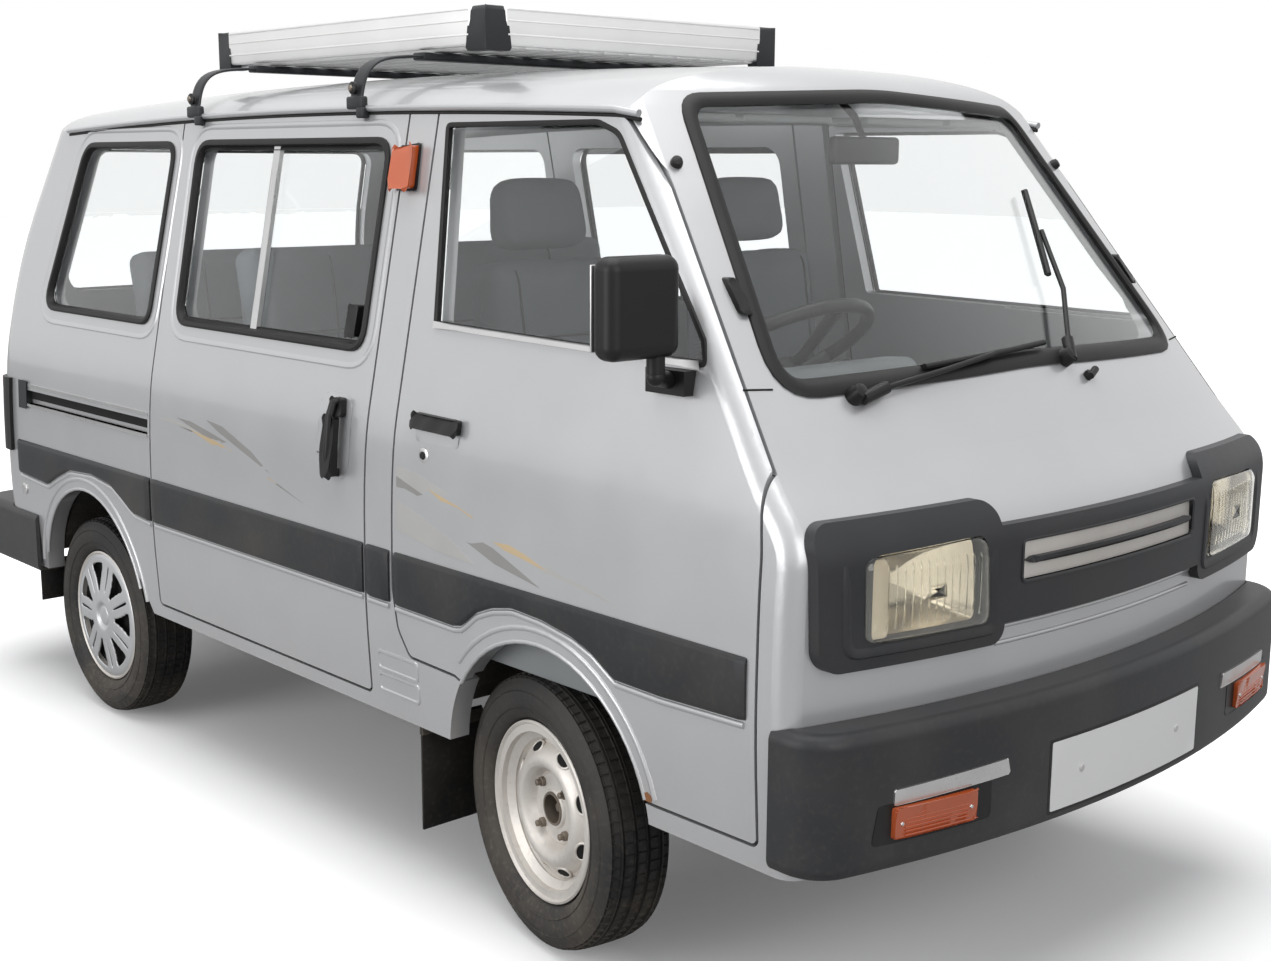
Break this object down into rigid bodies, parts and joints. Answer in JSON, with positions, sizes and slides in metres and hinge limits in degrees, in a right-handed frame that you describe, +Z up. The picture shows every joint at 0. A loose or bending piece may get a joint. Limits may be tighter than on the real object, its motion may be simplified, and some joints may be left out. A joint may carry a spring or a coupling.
{
  "type": "microvan",
  "caption": "Small forward-control passenger van with sliding side doors, hinged front doors, lifting tailgate, steerable front wheels and a roof rack.",
  "frame": {"origin": "on the floor, on the vehicle's centre plane, halfway along its length", "axes": "+Z up; the front faces -Y; +X is the vehicle's left"},
  "size_m": [1.5526, 3.3698, 1.751],
  "materials": {
    "body_paint": "silver metallic, a little worn",
    "chassis": "dusty black paint",
    "machinery": "oily dull metal",
    "dark_plastic": "grained dark grey",
    "bumper_plastic": "weathered dark grey",
    "cabin_plastic": "grained grey",
    "window_glass": "clear",
    "lamp_glass": "ribbed clear lens",
    "tail_lens": "red lens",
    "tyre_rubber": "matt",
    "steel_wheel": "silver paint",
    "seat_cover": "dark woven cloth",
    "rack_metal": "brushed, anodised"
  },
  "bodies": {
    "van_body": {"roof_panel": "body_paint", "front_panel": "body_paint", "rear_panel": "body_paint", "side_panel_left": "body_paint", "side_panel_right": "body_paint", "sliding_door_left": "body_paint", "sliding_door_right": "body_paint", "sliding_door_glass": "window_glass", "quarter_glass": "window_glass", "windscreen": "window_glass", "headlights": "lamp_glass", "grille": "dark_plastic", "tail_lamps": "tail_lens", "floor_pan": "chassis", "seat_box": "chassis", "front_wheel_housings": "chassis", "rear_wheel_housings": "chassis", "engine": "machinery", "propeller_shaft": "chassis", "rear_axle": "chassis", "fuel_tank": "chassis", "exhaust": "machinery", "front_suspension": "chassis", "steering_column": "cabin_plastic", "dashboard": "cabin_plastic", "front_seats": "seat_cover", "middle_bench": "seat_cover", "rear_bench": "seat_cover", "front_bumper": "bumper_plastic", "rear_bumper": "bumper_plastic", "roof_rack": "rack_metal"},
    "front_door_left": {"front_door_left": "body_paint", "front_door_glass_left": "window_glass"},
    "front_door_right": {"front_door_right": "body_paint", "front_door_glass_right": "window_glass", "door_mirror_right": "dark_plastic"},
    "tailgate": {"tailgate": "body_paint", "tailgate_glass": "window_glass"},
    "steering_wheel": {"steering_wheel": "dark_plastic"},
    "front_knuckle_left": {"front_knuckle_left": "machinery"},
    "front_knuckle_right": {"front_knuckle_right": "machinery"},
    "front_wheel_left": {"front_tyre_left": "tyre_rubber", "front_rim_left": "steel_wheel"},
    "front_wheel_right": {"front_tyre_right": "tyre_rubber", "front_rim_right": "steel_wheel"},
    "rear_wheel_left": {"rear_tyre_left": "tyre_rubber", "rear_rim_left": "steel_wheel"},
    "rear_wheel_right": {"rear_tyre_right": "tyre_rubber", "rear_rim_right": "steel_wheel"}
  },
  "joints": [
    {"name": "steer_left", "type": "hinge", "parent": "van_body", "child": "front_knuckle_left", "pos_m": [0.568, -0.888, 0.178], "axis": [-0.2538, 0.0219, 0.967], "range_deg": [-23.5, 40.5]},
    {"name": "steer_right", "type": "hinge", "parent": "van_body", "child": "front_knuckle_right", "pos_m": [-0.568, -0.888, 0.178], "axis": [0.2538, 0.0219, 0.967], "range_deg": [-23.5, 40.5]},
    {"name": "front_wheel_spin_left", "type": "hinge", "parent": "front_knuckle_left", "child": "front_wheel_left", "pos_m": [0.60604, -0.89708, 0.264], "axis": [0.989, -0.1478, 0], "continuous": true},
    {"name": "rear_wheel_spin_left", "type": "hinge", "parent": "van_body", "child": "rear_wheel_left", "pos_m": [0.6, 0.952, 0.264], "axis": [1, 0, 0], "continuous": true},
    {"name": "front_wheel_spin_right", "type": "hinge", "parent": "front_knuckle_right", "child": "front_wheel_right", "pos_m": [-0.60661, -0.87888, 0.264], "axis": [0.989, -0.1478, 0], "continuous": true},
    {"name": "rear_wheel_spin_right", "type": "hinge", "parent": "van_body", "child": "rear_wheel_right", "pos_m": [-0.6, 0.952, 0.264], "axis": [1, 0, 0], "continuous": true},
    {"name": "steering_wheel_turn", "type": "hinge", "parent": "van_body", "child": "steering_wheel", "pos_m": [-0.31, -1.103, 1.105], "axis": [0, 0.5299, 0.848], "range_deg": [-420, 720]},
    {"name": "front_door_left_hinge", "type": "hinge", "parent": "van_body", "child": "front_door_left", "pos_m": [0.708, -1.448, 0.6], "axis": [0, 0, -1], "range_deg": [0, 68]},
    {"name": "front_door_right_hinge", "type": "hinge", "parent": "van_body", "child": "front_door_right", "pos_m": [-0.708, -1.448, 0.6], "axis": [0, 0, 1], "range_deg": [0, 68]},
    {"name": "tailgate_hinge", "type": "hinge", "parent": "van_body", "child": "tailgate", "pos_m": [0, 1.317, 1.566], "axis": [1, 0, 0], "range_deg": [0, 85]}
  ],
  "couplings": [
    {"joint": "steer_right", "follows": "steer_left", "ratio": 1},
    {"joint": "steering_wheel_turn", "follows": "steer_left", "ratio": 17.5}
  ]
}
